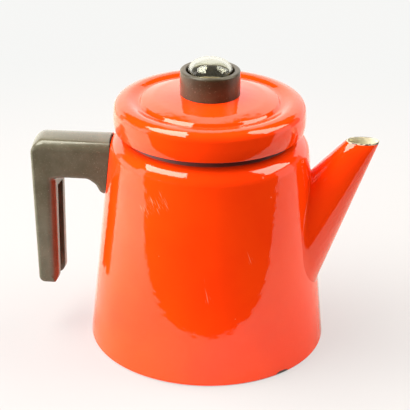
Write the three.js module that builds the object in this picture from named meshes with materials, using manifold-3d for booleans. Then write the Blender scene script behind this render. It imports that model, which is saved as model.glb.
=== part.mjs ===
// Stovetop coffee percolator: an enamelled steel pot with a cone-shaped body, a lift-off lid
// with a glass sight knob, and a lift-out pump that carries a perforated coffee basket.
//
// Millimetres, +Z up. The origin is on the table, on the axis of the pot. The spout points
// along +X and the handle along -X.

import * as THREE from 'three';
import { mergeVertices } from 'three/addons/utils/BufferGeometryUtils.js';
import Module from 'manifold-3d';

const wasm = await Module();
wasm.setup();

// Driving dimensions of the pot body
const footRadius = 80;
const bodyTaperShare = 0.102;
const sheetWall = 1.2;
const wallHeight = 135.4;
const shoulderRound = 11;
const shoulderSlope = 85;
const neckRound = 1.5;
const neckLean = 4;
const neckStep = 11.7;
const neckHeight = 32.7;
const beadRadius = 1.3;
const hemLift = 0.5;

// Base plate, pressed in from below
const plateWall = 1.2;
const plateCorner = 3;
const plateFlange = 9;

// Spout: a straight-sided funnel, wide at the wall and pinched at its level mouth
const mouthRise = 9.6;
const mouthStandoff = 24.8;
const mouthLength = 21.7;
const mouthWidth = 13.5;
const spoutTopDrop = 24;
const spoutFootHeight = 45.7;
const spoutFootWidth = 54.8;

// Strainer holes in the wall behind the spout, and how many stand in each row
const strainerHole = 6.5;
const strainerPitch = 10;
const strainerRows = [2, 3, 4, 3, 2];

// Grip: a moulded arm that runs out from the pot and turns down into a hollow-backed leg
const armRise = 2.6;
const armLength = 52.3;
const armDepth = 23.5;
const armCorner = 6;
const tailLength = 10.2;
const tailDrop = 10.1;
const legBottom = 35.4;
const legLean = 3.2;
const legDepthTop = 15.5;
const legDepthFoot = 13;
const legCorner = 4;
const gripWidthPot = 28;
const gripWidthEnd = 26;
const gripEdge = 2.5;
const channelWidth = 9.8;
const channelBack = 6;
const channelStop = 8.5;

// Steel lug welded to the wall, with its screw and washer inside the grip
const lugWidth = 18;
const lugHeight = 22;
const lugCover = 5;
const lugPlate = 1.5;
const tongueWidth = 12;
const tongueDepth = 10;
const tongueLength = 22;
const screwInset = 9;
const screwShank = 4;
const screwHead = 7;
const screwHeadDepth = 2.3;
const screwWasher = 8.4;
const washerThickness = 0.7;
const gripFloor = 2.2;

// Lid
const lidPlay = 6.81;
const lidWall = 1.2;
const lidFlare = 0.4;
const lidHeight = 18.6;
const lidEdge = 4.6;
const rimWidth = 16.2;
const grooveDepth = 1.3;
const grooveWidth = 1.1;
const domeRise = 5.6;

// Knob on the lid: a moulded ring with a glass dome, held by a nut from below
const knobRadius = 19.7;
const knobHeight = 14.6;
const knobEdge = 1.4;
const knobNeck = 25.4;
const knobNeckBore = 19.6;
const knobNeckLength = 9.3;
const knobLedgeHeight = 3.8;
const glassRadius = 15.2;
const glassPlay = 0.6;
const glassWall = 2.2;
const glassStand = 7.2;
const glassDomeRise = 10.5;
const sealThickness = 1;
const sealWidth = 4.6;
const nutAcross = 34;
const nutHeight = 4;
const knobWasherRadius = 18.6;
const knobWasherThickness = 0.8;

// Pump: a tube on a bell-shaped foot
const tubeRadius = 5;
const tubeWall = 0.8;
const tubeTopGap = 6.5;
const tubeFootDepth = 0.5;
const crimpLift = 5.4;
const crimpDepth = 1.4;
const crimpLength = 2.4;
const bellRadius = 30;
const bellWall = 1;
const bellRise = 14;
const bellCollar = 8;
const notchWidth = 8;
const notchHeight = 3;
const notchCount = 3;
const valveSeatHeight = 2.5;
const valveSeatBore = 4.4;
const valveDiscRadius = 3.4;
const valveDiscThickness = 0.8;

// Basket stop, basket and spreader
const stopWidth = 3;
const stopHeight = 3;
const basketHang = 79.5;
const basketHeight = 50;
const basketClearance = 10.1;
const basketCorner = 6;
const basketWall = 0.8;
const basketBead = 1.2;
const sleeveWall = 0.9;
const sleeveHeight = 42;
const sleeveFlange = 3.5;
const basketHole = 3;
const basketRingShares = [0.37, 0.57, 0.77];
const basketHolePitch = 13;
const spreaderOverhang = 2;
const spreaderWall = 0.8;
const spreaderDish = 3;
const spreaderLip = 2.4;
const spreaderCollarHeight = 8;
const spreaderHole = 2.6;
const spreaderRingShares = [0.4, 0.61, 0.82];
const spreaderHolePitch = 12;

// Clearances: between pieces that touch or seat, between the stem and what slides on it,
// and the length by which a cut runs past what it cuts
const seatGap = 0.3;
const slideGap = 0.6;
const overrun = 5;

// Facets round a full turn
const wideFacets = 40;
const middleFacets = 32;
const smallFacets = 20;
const tinyFacets = 16;
const strainerFacets = 8;
const holeFacets = 6;
const nutSides = 6;

// Outer radius of the pot's cone at a height
const potRadiusAt = (height) => footRadius - bodyTaperShare * height;

// Places that several pieces share
const neckRadius = potRadiusAt(wallHeight) - neckStep;
const neckTop = wallHeight + neckHeight;
const mouthHeight = wallHeight + mouthRise;
const armTop = wallHeight + armRise;
const underside = armTop - armDepth;
const gripReach = potRadiusAt(armTop) + armLength;
const lugTop = armTop - lugCover;
const lugBottom = lugTop - lugHeight;
const tongueReach = potRadiusAt(lugTop) + tongueLength;
const tongueBottom = lugTop - lugPlate - tongueDepth;
const screwReach = tongueReach - screwInset;
const lidCrest = neckTop + seatGap * 2 + lidWall;
const lidHem = lidCrest - lidHeight;
const lidDomeTop = lidCrest + domeRise;
const lidRadius = neckRadius - sheetWall / 2 + beadRadius + lidPlay + lidWall;
const knobSeat = lidDomeTop + seatGap;
const knobNeckBottom = knobSeat - knobNeckLength;
const bellFloor = plateWall + seatGap;
const tubeBottom = bellFloor + bellRise + tubeFootDepth;
const tubeTop = knobNeckBottom - tubeTopGap;
const stemBore = tubeRadius + slideGap;
const valveSeatTop = tubeBottom + valveSeatHeight;
const basketFloor = neckTop - basketHang;
const basketRadius = neckRadius - sheetWall - basketClearance;
const sleeveBottom = basketFloor - seatGap - sleeveWall;
const spreaderSeat = basketFloor + basketHeight + seatGap;
const spreaderRadius = basketRadius + spreaderOverhang;

const enamel = new THREE.MeshStandardMaterial({ color: 0xe8450f, roughness: 0.12, metalness: 0 });
const phenolic = new THREE.MeshStandardMaterial({ color: 0x3a3128, roughness: 0.45, metalness: 0 });
const glass = new THREE.MeshStandardMaterial({ color: 0xd8d2b4, roughness: 0.05, metalness: 0 });
const aluminium = new THREE.MeshStandardMaterial({ color: 0xb7b9bb, roughness: 0.35, metalness: 1 });
const steel = new THREE.MeshStandardMaterial({ color: 0x8c8e91, roughness: 0.4, metalness: 1 });
const silicone = new THREE.MeshStandardMaterial({ color: 0xb9ab90, roughness: 0.6, metalness: 0 });

const spot = (radius, height) => new THREE.Vector2(radius, height);

// Points of an arc in a section, angles in degrees from the outward direction
function arc(centreRadius, centreHeight, radius, from, to, steps) {
  return Array.from({ length: steps + 1 }, (unused, i) => {
    const angle = THREE.MathUtils.degToRad(from + ((to - from) * i) / steps);
    return spot(centreRadius + radius * Math.cos(angle), centreHeight + radius * Math.sin(angle));
  });
}

// The line at a set distance to the left of an open section line, as seen going along it
function beside(line, distance) {
  return line.map((here, i) => {
    const before = line[Math.max(i - 1, 0)];
    const after = line[Math.min(i + 1, line.length - 1)];
    const into = here.clone().sub(before).normalize();
    const away = after.clone().sub(here).normalize();
    const along = into.clone().add(away).normalize();
    const square = along.dot(i > 0 ? into : away);
    return spot(here.x - (along.y * distance) / square, here.y + (along.x * distance) / square);
  });
}

// Turns a section of radius and height about the Z axis. A section that doesn't start and end
// on the axis is closed on itself.
function turned(section, facets) {
  const points = THREE.ShapeUtils.area(section) < 0 ? section.slice().reverse() : section.slice();
  if (points[0].x > 0 || points[points.length - 1].x > 0) points.push(points[0].clone());
  return new THREE.LatheGeometry(points, facets).rotateX(Math.PI / 2);
}

// A pressed sheet: an open outer line and the same line moved in by the sheet's wall
function sheet(line, wall, facets) {
  return turned([...line, ...beside(line, wall).reverse()], facets);
}

function washer(inner, outer, bottom, top, facets) {
  return turned([spot(inner, bottom), spot(outer, bottom), spot(outer, top), spot(inner, top)], facets);
}

function disc(radius, bottom, top, facets) {
  return turned([spot(0, bottom), spot(radius, bottom), spot(radius, top), spot(0, top)], facets);
}

function block(minX, maxX, width, minZ, maxZ) {
  const geometry = new THREE.BoxGeometry(maxX - minX, width, maxZ - minZ);
  return geometry.translate((minX + maxX) / 2, 0, (minZ + maxZ) / 2);
}

// A closed skin over a row of rings with equal numbers of points
function loft(rings) {
  const count = rings[0].length;
  const positions = rings.flat().flatMap((p) => [p.x, p.y, p.z]);
  const faces = [];
  for (let ring = 0; ring < rings.length - 1; ring += 1) {
    for (let i = 0; i < count; i += 1) {
      const a = ring * count + i;
      const b = ring * count + ((i + 1) % count);
      faces.push(a, b, a + count, b, b + count, a + count);
    }
  }
  const last = (rings.length - 1) * count;
  for (let i = 1; i < count - 1; i += 1) {
    faces.push(0, i + 1, i);
    faces.push(last, last + i, last + i + 1);
  }
  const geometry = new THREE.BufferGeometry();
  geometry.setAttribute('position', new THREE.Float32BufferAttribute(positions, 3));
  geometry.setIndex(faces);
  return geometry;
}

// A three.js geometry as a solid that can be joined and cut
function solid(geometry) {
  const bare = geometry.clone();
  bare.deleteAttribute('normal');
  bare.deleteAttribute('uv');
  const merged = mergeVertices(bare);
  const index = merged.index.array;
  const kept = [];
  for (let i = 0; i < index.length; i += 3) {
    const [a, b, c] = index.slice(i, i + 3);
    if (a !== b && b !== c && c !== a) kept.push(a, b, c);
  }
  const vertProperties = new Float32Array(merged.attributes.position.array);
  return new wasm.Manifold(new wasm.Mesh({ numProp: 3, vertProperties, triVerts: new Uint32Array(kept) }));
}

function geometryOf(shape) {
  const mesh = shape.getMesh();
  const geometry = new THREE.BufferGeometry();
  geometry.setAttribute('position', new THREE.BufferAttribute(mesh.vertProperties, 3));
  geometry.setIndex(new THREE.BufferAttribute(mesh.triVerts, 1));
  geometry.computeVertexNormals();
  return geometry;
}

function piece(name, geometry, material) {
  const mesh = new THREE.Mesh(geometry, material);
  mesh.name = name;
  return mesh;
}

// The pot's cone as a plain solid, grown by a gap, that cuts what is fixed to the wall
function potCone(gap) {
  const low = -overrun;
  const high = armTop + overrun;
  const edge = [spot(potRadiusAt(low) + gap, low), spot(potRadiusAt(high) + gap, high)];
  return solid(turned([spot(0, low), ...edge, spot(0, high)], wideFacets));
}

// The wall's outer line from above the hem: cone, round shoulder, small hollow, neck up to its bead
function wallLine(foot) {
  const wallLean = THREE.MathUtils.radToDeg(Math.atan(bodyTaperShare));
  const square = (degrees) => arc(0, 0, 1, degrees, degrees, 1)[0];
  const edge = spot(potRadiusAt(wallHeight), wallHeight);
  const shoulder = edge.addScaledVector(square(wallLean), -shoulderRound);
  const hollow = shoulder.clone().addScaledVector(square(shoulderSlope), shoulderRound + neckRound);
  return [
    spot(potRadiusAt(foot), foot),
    ...arc(shoulder.x, shoulder.y, shoulderRound, wallLean, shoulderSlope, 3),
    ...arc(hollow.x, hollow.y, neckRound, 180 + shoulderSlope, 180 + neckLean, 3).slice(1),
    spot(neckRadius, neckTop - beadRadius * 2),
  ];
}

// Drawn shell: a hemmed foot, a shoulder that rolls in under the lid, a neck with a rolled bead
function potBody() {
  const footFillet = sheetWall - seatGap;
  const hemRadius = potRadiusAt(hemLift);
  const beadAngle = THREE.MathUtils.radToDeg(Math.acos(sheetWall / 2 / beadRadius));
  const beadCentre = neckRadius - sheetWall / 2;
  const line = wallLine(hemLift + footFillet);
  const section = [
    spot(hemRadius - sheetWall, hemLift),
    ...arc(hemRadius - footFillet, hemLift + footFillet, footFillet, -90, 0, 2).slice(0, -1),
    ...line.slice(0, -1),
    ...arc(beadCentre, neckTop - beadRadius, beadRadius, -beadAngle, 180 + beadAngle, 6),
    ...beside(line, sheetWall).reverse().slice(1),
  ];
  let shell = solid(turned(section, wideFacets));
  for (const hole of strainerHoles()) shell = shell.subtract(hole);
  return piece('pot_body', geometryOf(shell), enamel);
}

// Holes punched through the wall behind the spout, in staggered rows
function strainerHoles() {
  const holes = [];
  const middle = (spoutFootHeight + mouthHeight - spoutTopDrop) / 2;
  strainerRows.forEach((count, row) => {
    const height = middle + (row - (strainerRows.length - 1) / 2) * strainerPitch;
    for (let i = 0; i < count; i += 1) {
      const side = (i - (count - 1) / 2) * strainerPitch;
      const punch = disc(strainerHole / 2, -footRadius / 4, footRadius / 4, strainerFacets);
      holes.push(solid(punch.rotateY(Math.PI / 2).translate(potRadiusAt(height), side, height)));
    }
  });
  return holes;
}

// Flat pan whose flange stands inside the foot of the wall
function basePlate() {
  const flangeRadiusAt = (height) => potRadiusAt(height) - sheetWall - seatGap;
  const cornerRadius = flangeRadiusAt(plateCorner) - plateCorner;
  const line = [
    spot(0, 0),
    ...arc(cornerRadius, plateCorner, plateCorner, -90, 0, 3),
    spot(flangeRadiusAt(plateFlange), plateFlange),
  ];
  return piece('base_plate', sheet(line, plateWall, wideFacets), enamel);
}

// Ring of the spout at a share of the way from the wall to the mouth, moved in by an inset
function spoutRing(share, inset) {
  const along = (wallHeight, standoff) => new THREE.Vector3(
    THREE.MathUtils.lerp(potRadiusAt(wallHeight), potRadiusAt(mouthHeight) + standoff, share),
    0,
    THREE.MathUtils.lerp(wallHeight, mouthHeight, share),
  );
  const top = along(mouthHeight - spoutTopDrop, mouthStandoff);
  const bottom = along(spoutFootHeight, mouthStandoff + mouthLength);
  const halfWidth = THREE.MathUtils.lerp(spoutFootWidth, mouthWidth, share) / 2 - inset;
  const middle = top.clone().add(bottom).divideScalar(2);
  const reach = bottom.clone().sub(middle);
  reach.setLength(reach.length() - inset);
  return Array.from({ length: middleFacets }, (unused, i) => {
    const angle = (2 * Math.PI * i) / middleFacets;
    const place = middle.clone().addScaledVector(reach, Math.cos(angle));
    return place.setY(halfWidth * Math.sin(angle));
  });
}

// Lofted funnel, hollow from its foot to its mouth, that meets the wall all round
function spout() {
  const outerShares = [-0.15, 0.4, 1];
  const innerShares = [-0.25, 0.4, 1.1];
  const outer = solid(loft(outerShares.map((share) => spoutRing(share, 0))));
  const inner = solid(loft(innerShares.map((share) => spoutRing(share, sheetWall))));
  return piece('spout', geometryOf(outer.subtract(inner).subtract(potCone(seatGap))), enamel);
}

// Side outline of the grip: arm, tail on the wall, and leg
function gripOutline() {
  const tailTip = underside - tailDrop;
  const footOuter = gripReach - legLean;
  const footInner = footOuter - legDepthFoot;
  const topInner = gripReach - legDepthTop;
  const inside = potRadiusAt(armTop) - overrun;
  const tailFoot = potRadiusAt(tailTip);
  const tailReach = tailFoot + tailLength;
  const outline = new THREE.Shape();
  outline.moveTo(-inside, armTop);
  outline.lineTo(-gripReach + armCorner, armTop);
  outline.quadraticCurveTo(-gripReach, armTop, -gripReach, armTop - armCorner);
  outline.lineTo(-footOuter, legBottom + legCorner);
  outline.quadraticCurveTo(-footOuter, legBottom, -footOuter + legCorner, legBottom);
  outline.lineTo(-footInner - legCorner, legBottom);
  outline.quadraticCurveTo(-footInner, legBottom, -footInner, legBottom + legCorner);
  outline.lineTo(-topInner, underside - armCorner);
  outline.quadraticCurveTo(-topInner, underside, -topInner + armCorner, underside);
  outline.lineTo(-tailReach, underside);
  const swing = tailLength / 2;
  outline.bezierCurveTo(-tailReach + swing, underside, -tailFoot - swing, tailTip, -tailFoot, tailTip);
  outline.lineTo(-inside, tailTip);
  outline.closePath();
  return outline;
}

// Outline made as deep as the grip is wide, with rounded edges and sides that draw together
function gripBlank() {
  const geometry = new THREE.ExtrudeGeometry(gripOutline(), {
    depth: gripWidthPot - 2 * gripEdge,
    curveSegments: 5,
    bevelThickness: gripEdge,
    bevelSize: gripEdge,
    bevelOffset: -gripEdge,
    bevelSegments: 2,
  });
  geometry.translate(0, 0, gripEdge - gripWidthPot / 2).rotateX(Math.PI / 2);
  const places = geometry.attributes.position;
  const potEnd = potRadiusAt(armTop);
  for (let i = 0; i < places.count; i += 1) {
    const share = (-places.getX(i) - potEnd) / (gripReach - potEnd);
    const width = THREE.MathUtils.lerp(gripWidthPot, gripWidthEnd, share);
    places.setY(i, (places.getY(i) * width) / gripWidthPot);
  }
  return solid(geometry);
}

// Plate that follows the wall and a tongue that reaches into the grip, grown by a gap
function lugShape(gap) {
  const inside = potRadiusAt(lugTop) - overrun;
  const outside = potRadiusAt(lugBottom) + overrun;
  const plateBlock = block(-outside, -inside, lugWidth + 2 * gap, lugBottom - gap, lugTop + gap);
  const tongueTop = tongueBottom + tongueDepth + gap;
  const across = tongueWidth + 2 * gap;
  const tongueBlock = block(-tongueReach - gap, -inside, across, tongueBottom - gap, tongueTop);
  const plate = solid(plateBlock).intersect(potCone(seatGap + lugPlate + gap));
  return plate.add(solid(tongueBlock)).subtract(potCone(seatGap - gap));
}

// A round cut on the axis of the grip's screw
function boltHole(radius, bottom, top) {
  return solid(disc(radius, bottom, top, tinyFacets).translate(-screwReach, 0, 0));
}

const pocketFloor = tongueBottom - seatGap;
const washerSeat = pocketFloor - gripFloor;

function handleLug() {
  const boreTop = tongueBottom + tongueDepth - sheetWall;
  const bore = boltHole(screwShank / 2 + seatGap, tongueBottom - overrun, boreTop);
  return piece('handle_lug', geometryOf(lugShape(0).subtract(bore)), steel);
}

function handleGrip() {
  const channelFloor = gripReach - channelBack;
  const channelMouth = gripReach - legDepthTop - overrun;
  const channelTop = underside - channelStop;
  const channel = block(-channelFloor, -channelMouth, channelWidth, legBottom - overrun, channelTop);
  const grip = gripBlank()
    .subtract(potCone(seatGap))
    .subtract(lugShape(seatGap))
    .subtract(solid(channel))
    .subtract(boltHole(screwShank / 2 + seatGap, underside, tongueBottom))
    .subtract(boltHole(screwWasher / 2 + seatGap, underside - overrun, washerSeat));
  return piece('handle_grip', geometryOf(grip), phenolic);
}

function handleScrew() {
  const headTop = washerSeat - washerThickness - 2 * seatGap;
  const headBottom = headTop - screwHeadDepth;
  const shankTop = tongueBottom + tongueDepth - sheetWall - seatGap;
  const section = [
    spot(0, headBottom),
    spot(screwHead / 2 - seatGap, headBottom),
    spot(screwHead / 2, headBottom + seatGap),
    spot(screwHead / 2, headTop),
    spot(screwShank / 2, headTop),
    spot(screwShank / 2, shankTop),
    spot(0, shankTop),
  ];
  const screw = piece('handle_screw', turned(section, tinyFacets), steel);
  screw.position.x = -screwReach;
  return screw;
}

function handleWasher() {
  const top = washerSeat - seatGap;
  const ring = washer(screwShank / 2 + seatGap, screwWasher / 2, top - washerThickness, top, tinyFacets);
  const mesh = piece('handle_washer', ring, steel);
  mesh.position.x = -screwReach;
  return mesh;
}

// Pressed lid: a deep side wall, a rounded rim, a groove and a low dome with a hole in it
function lidShell() {
  const crestRadius = lidRadius - lidEdge;
  const groove = lidCrest - grooveDepth;
  const rimInner = lidRadius - rimWidth;
  const lidDiscRadius = rimInner - grooveWidth;
  const dome = new THREE.QuadraticBezierCurve(
    spot(lidDiscRadius, groove),
    spot((knobRadius + lidDiscRadius * 2) / 3 + grooveDepth, lidDomeTop - grooveDepth),
    spot(knobRadius, lidDomeTop),
  );
  const line = [
    spot(lidRadius - lidFlare, lidHem),
    ...arc(crestRadius, lidCrest - lidEdge, lidEdge, 0, 90, 3),
    spot((crestRadius + rimInner) / 2, lidCrest - grooveDepth / 5),
    spot(rimInner, groove),
    ...dome.getPoints(4),
    spot(knobNeck / 2 + seatGap, lidDomeTop),
  ];
  return piece('lid_shell', sheet(line, lidWall, wideFacets), enamel);
}

// Moulded ring with a threaded neck that passes down through the lid
function knobRing() {
  const top = knobSeat + knobHeight;
  const bore = glassRadius + glassPlay;
  const section = [
    spot(knobNeckBore / 2, knobNeckBottom),
    spot(knobNeck / 2, knobNeckBottom),
    spot(knobNeck / 2, knobSeat),
    spot(knobRadius - knobEdge / 2, knobSeat),
    spot(knobRadius, knobSeat + knobEdge),
    ...arc(knobRadius - knobEdge, top - knobEdge, knobEdge, 0, 90, 3),
    spot(bore + knobEdge / 2, top),
    spot(bore, top - knobEdge / 2),
    spot(bore, knobLedge),
    spot(knobNeckBore / 2, knobLedge),
  ];
  return piece('knob_ring', turned(section, middleFacets), phenolic);
}

const knobLedge = knobSeat + knobLedgeHeight;
const sealTop = knobLedge + seatGap + sealThickness;

function knobSeal() {
  const ring = washer(glassRadius - sealWidth, glassRadius, knobLedge + seatGap, sealTop, smallFacets);
  return piece('knob_seal', ring, silicone);
}

// Blown dome, open below
function knobGlass() {
  const foot = sealTop + seatGap;
  const spring = knobSeat + knobHeight + glassStand - glassDomeRise;
  const crown = (radius, rise) => arc(0, 0, 1, 0, 90, 5).map((p) => spot(p.x * radius, spring + p.y * rise));
  const outer = crown(glassRadius, glassDomeRise);
  const inner = crown(glassRadius - glassWall, glassDomeRise - glassWall);
  outer[outer.length - 1].x = 0;
  inner[inner.length - 1].x = 0;
  const section = [
    ...outer.reverse(),
    spot(glassRadius, foot),
    spot(glassRadius - glassWall, foot),
    ...inner,
  ];
  return piece('knob_glass', turned(section, middleFacets), glass);
}

const knobWasherTop = lidDomeTop - lidWall - seatGap;

function knobWasher() {
  const bottom = knobWasherTop - knobWasherThickness;
  const ring = washer(knobNeck / 2 + seatGap, knobWasherRadius, bottom, knobWasherTop, smallFacets);
  return piece('knob_washer', ring, steel);
}

// Hexagon nut, chamfered where a cone trims its corners
function knobNut() {
  const top = knobWasherTop - knobWasherThickness - seatGap;
  const bottom = top - nutHeight;
  const corner = nutAcross / 2 / Math.cos(Math.PI / nutSides);
  const hexagon = solid(disc(corner, bottom, top, nutSides));
  const section = [
    spot(knobNeck / 2 + seatGap, bottom),
    spot(nutAcross / 2, bottom),
    spot(corner, bottom + nutHeight / 4),
    spot(corner, top),
    spot(knobNeck / 2 + seatGap, top),
  ];
  return piece('knob_nut', geometryOf(hexagon.intersect(solid(turned(section, smallFacets)))), steel);
}

// Thin tube, crimped above its valve so that the disc can't climb
function pumpTube() {
  const crimp = valveSeatTop + crimpLift;
  const line = [
    spot(tubeRadius, tubeBottom),
    spot(tubeRadius, crimp - crimpLength),
    spot(tubeRadius - crimpDepth, crimp - crimpLength / 4),
    spot(tubeRadius - crimpDepth, crimp + crimpLength / 4),
    spot(tubeRadius, crimp + crimpLength),
    spot(tubeRadius, tubeTop),
  ];
  return piece('pump_tube', sheet(line, tubeWall, tinyFacets), aluminium);
}

// Spun bell that stands on the bottom of the pot, with notches that let the water in
function pumpFoot() {
  const collarRadius = tubeRadius + seatGap + bellWall;
  const collarFoot = bellFloor + bellRise;
  const spreadShares = [1, 0.97, 0.85, 0.66, 0.44];
  const riseShares = [0, 0.2, 0.52, 0.78, 0.94];
  const slope = spreadShares.map((share, i) => (
    spot(bellRadius * share, bellFloor + bellRise * riseShares[i])
  ));
  const line = [...slope, spot(collarRadius, collarFoot), spot(collarRadius, collarFoot + bellCollar)];
  let bell = solid(sheet(line, bellWall, smallFacets));
  for (let i = 0; i < notchCount; i += 1) {
    const reach = bellRadius + overrun;
    const notch = block(0, reach, notchWidth, bellFloor - overrun, bellFloor + notchHeight);
    bell = bell.subtract(solid(notch.rotateZ((2 * Math.PI * (i + 1 / 2)) / notchCount)));
  }
  return piece('pump_foot', geometryOf(bell), aluminium);
}

function valveSeat() {
  const outer = tubeRadius - tubeWall - seatGap;
  const ring = washer(valveSeatBore / 2, outer, tubeBottom, valveSeatTop, tinyFacets);
  return piece('valve_seat', ring, aluminium);
}

function valveDisc() {
  const bottom = valveSeatTop + seatGap;
  return piece('valve_disc', disc(valveDiscRadius, bottom, bottom + valveDiscThickness, tinyFacets), steel);
}

// Collar on the tube that carries the basket
function basketStop() {
  const top = sleeveBottom - seatGap;
  const collar = washer(tubeRadius + seatGap, tubeRadius + stopWidth, top - stopHeight, top, smallFacets);
  return piece('basket_stop', collar, aluminium);
}

// Prisms on rings about the axis, at shares of a radius, spaced along each ring by a pitch
function perforations(edge, ringShares, pitch, diameter, bottom, top) {
  const cuts = [];
  for (const share of ringShares) {
    const radius = edge * share;
    const count = Math.floor((2 * Math.PI * radius) / pitch);
    for (let i = 0; i < count; i += 1) {
      const angle = (2 * Math.PI * i) / count;
      const prism = new THREE.CylinderGeometry(diameter / 2, diameter / 2, top - bottom, holeFacets);
      prism.rotateX(Math.PI / 2);
      prism.translate(radius * Math.cos(angle), radius * Math.sin(angle), (bottom + top) / 2);
      cuts.push(solid(prism));
    }
  }
  return wasm.Manifold.union(cuts);
}

// Drawn cup with a beaded rim and a floor full of drip holes
function basketShell() {
  const rim = basketFloor + basketHeight;
  const wallMiddle = basketRadius - basketWall / 2;
  const beadAngle = THREE.MathUtils.radToDeg(Math.acos(basketWall / 2 / basketBead));
  const cornerRadius = basketRadius - basketCorner;
  const section = [
    spot(stemBore + sleeveWall + seatGap, basketFloor),
    ...arc(cornerRadius, basketFloor + basketCorner, basketCorner, -90, 0, 3),
    ...arc(wallMiddle, rim - basketBead, basketBead, -beadAngle, 180 + beadAngle, 5),
    ...arc(cornerRadius, basketFloor + basketCorner, basketCorner - basketWall, 0, -90, 3),
    spot(stemBore + sleeveWall + seatGap, basketFloor + basketWall),
  ];
  const cup = solid(turned(section, middleFacets));
  const floorTop = basketFloor + basketWall + overrun / 2;
  const drip = [basketRadius, basketRingShares, basketHolePitch, basketHole];
  const holes = perforations(...drip, basketFloor - overrun, floorTop);
  return piece('basket_shell', geometryOf(cup.subtract(holes)), aluminium);
}

// Tube through the middle of the basket, flanged under its floor
function basketSleeve() {
  const flange = stemBore + sleeveWall + sleeveFlange;
  const sleeveTop = sleeveBottom + sleeveHeight;
  const section = [
    spot(stemBore, sleeveBottom),
    spot(flange, sleeveBottom),
    spot(flange, sleeveBottom + sleeveWall),
    spot(stemBore + sleeveWall, sleeveBottom + sleeveWall),
    spot(stemBore + sleeveWall, sleeveTop),
    spot(stemBore, sleeveTop),
  ];
  return piece('basket_sleeve', turned(section, smallFacets), aluminium);
}

// Dished plate with an upturned lip that lies on the basket's rim
function spreaderPlate() {
  const collarOuter = stemBore + sleeveWall + seatGap;
  const dishEdge = collarOuter + spreaderDish * 2;
  const section = [
    spot(spreaderRadius, spreaderSeat + spreaderLip),
    spot(spreaderRadius - spreaderWall, spreaderSeat + spreaderLip),
    spot(spreaderRadius - spreaderWall, spreaderSeat + spreaderWall),
    spot(dishEdge, spreaderSeat + spreaderWall),
    spot(dishEdge - spreaderDish, spreaderSeat + spreaderWall + spreaderDish),
    spot(collarOuter, spreaderSeat + spreaderWall + spreaderDish),
    spot(collarOuter, spreaderSeat + spreaderDish),
    spot(dishEdge - spreaderDish, spreaderSeat + spreaderDish),
    spot(dishEdge, spreaderSeat),
    spot(spreaderRadius, spreaderSeat),
  ];
  const plate = solid(turned(section, middleFacets));
  const top = spreaderSeat + spreaderWall + spreaderDish;
  const shower = [spreaderRadius, spreaderRingShares, spreaderHolePitch, spreaderHole];
  const holes = perforations(...shower, spreaderSeat - overrun, top);
  return piece('spreader_plate', geometryOf(plate.subtract(holes)), aluminium);
}

// Flanged ferrule in the middle of the spreader
function spreaderCollar() {
  const plateTop = spreaderSeat + spreaderWall + spreaderDish + seatGap;
  const outer = stemBore + sleeveWall;
  const section = [
    spot(stemBore, spreaderSeat - spreaderCollarHeight / 2),
    spot(outer, spreaderSeat - spreaderCollarHeight / 2),
    spot(outer, plateTop),
    spot(outer + sleeveWall * 2, plateTop),
    spot(outer + sleeveWall * 2, plateTop + sleeveWall),
    spot(stemBore, plateTop + sleeveWall),
  ];
  return piece('spreader_collar', turned(section, smallFacets), aluminium);
}

function assembled(...pieces) {
  const group = new THREE.Group();
  group.add(...pieces);
  return group;
}

const handle = assembled(handleLug(), handleGrip(), handleScrew(), handleWasher());
const pot = assembled(potBody(), basePlate(), spout(), handle);
const knob = assembled(knobRing(), knobSeal(), knobGlass(), knobWasher(), knobNut());
const lid = assembled(lidShell(), knob);
const pump = assembled(pumpTube(), pumpFoot(), valveSeat(), valveDisc(), basketStop());
const basket = assembled(basketShell(), basketSleeve());
const spreader = assembled(spreaderPlate(), spreaderCollar());

const percolator = assembled(pot, lid, pump, basket, spreader);

export default percolator;
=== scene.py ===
import functools
import math

import bmesh
import bpy
from mathutils import Matrix, Vector


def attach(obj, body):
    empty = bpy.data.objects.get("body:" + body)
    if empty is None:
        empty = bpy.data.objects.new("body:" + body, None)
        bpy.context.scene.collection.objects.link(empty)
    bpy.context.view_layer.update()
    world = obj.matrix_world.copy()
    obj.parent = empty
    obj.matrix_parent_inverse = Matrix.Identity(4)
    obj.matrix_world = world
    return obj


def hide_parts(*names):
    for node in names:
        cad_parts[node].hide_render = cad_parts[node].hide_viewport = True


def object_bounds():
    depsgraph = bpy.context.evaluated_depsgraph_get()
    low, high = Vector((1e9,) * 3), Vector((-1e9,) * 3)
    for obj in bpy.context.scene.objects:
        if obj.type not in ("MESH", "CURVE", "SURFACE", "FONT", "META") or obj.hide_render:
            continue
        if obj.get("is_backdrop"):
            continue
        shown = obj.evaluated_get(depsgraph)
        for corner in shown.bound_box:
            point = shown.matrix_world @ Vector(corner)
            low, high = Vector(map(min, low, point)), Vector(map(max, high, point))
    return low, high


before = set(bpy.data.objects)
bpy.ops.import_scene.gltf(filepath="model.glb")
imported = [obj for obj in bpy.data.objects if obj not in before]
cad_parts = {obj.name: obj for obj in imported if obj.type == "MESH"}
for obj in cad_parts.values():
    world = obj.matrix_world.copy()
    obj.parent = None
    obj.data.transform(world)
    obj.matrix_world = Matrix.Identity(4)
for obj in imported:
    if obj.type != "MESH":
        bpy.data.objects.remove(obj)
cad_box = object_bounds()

# The camera looks down at the percolator from the front, a little to the spout's side,
# with a long lens from just over a metre away.
camera_place = (0.0636, -0.9093, 0.5211)
spoutward, downward, rolled = (math.radians(turn) for turn in (4.15, 25.13, 0.71))
view_lens = bpy.data.cameras.new("view_lens")
view_lens.lens = 131.19
view_lens.sensor_width = 36
camera = bpy.data.objects.new("camera", view_lens)
camera.matrix_world = (
    Matrix.Translation(camera_place)
    @ Matrix.Rotation(spoutward, 4, "Z")
    @ Matrix.Rotation(math.pi / 2 - downward, 4, "X")
    @ Matrix.Rotation(rolled, 4, "Z")
)
bpy.context.scene.collection.objects.link(camera)
bpy.context.scene.camera = camera
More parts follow.
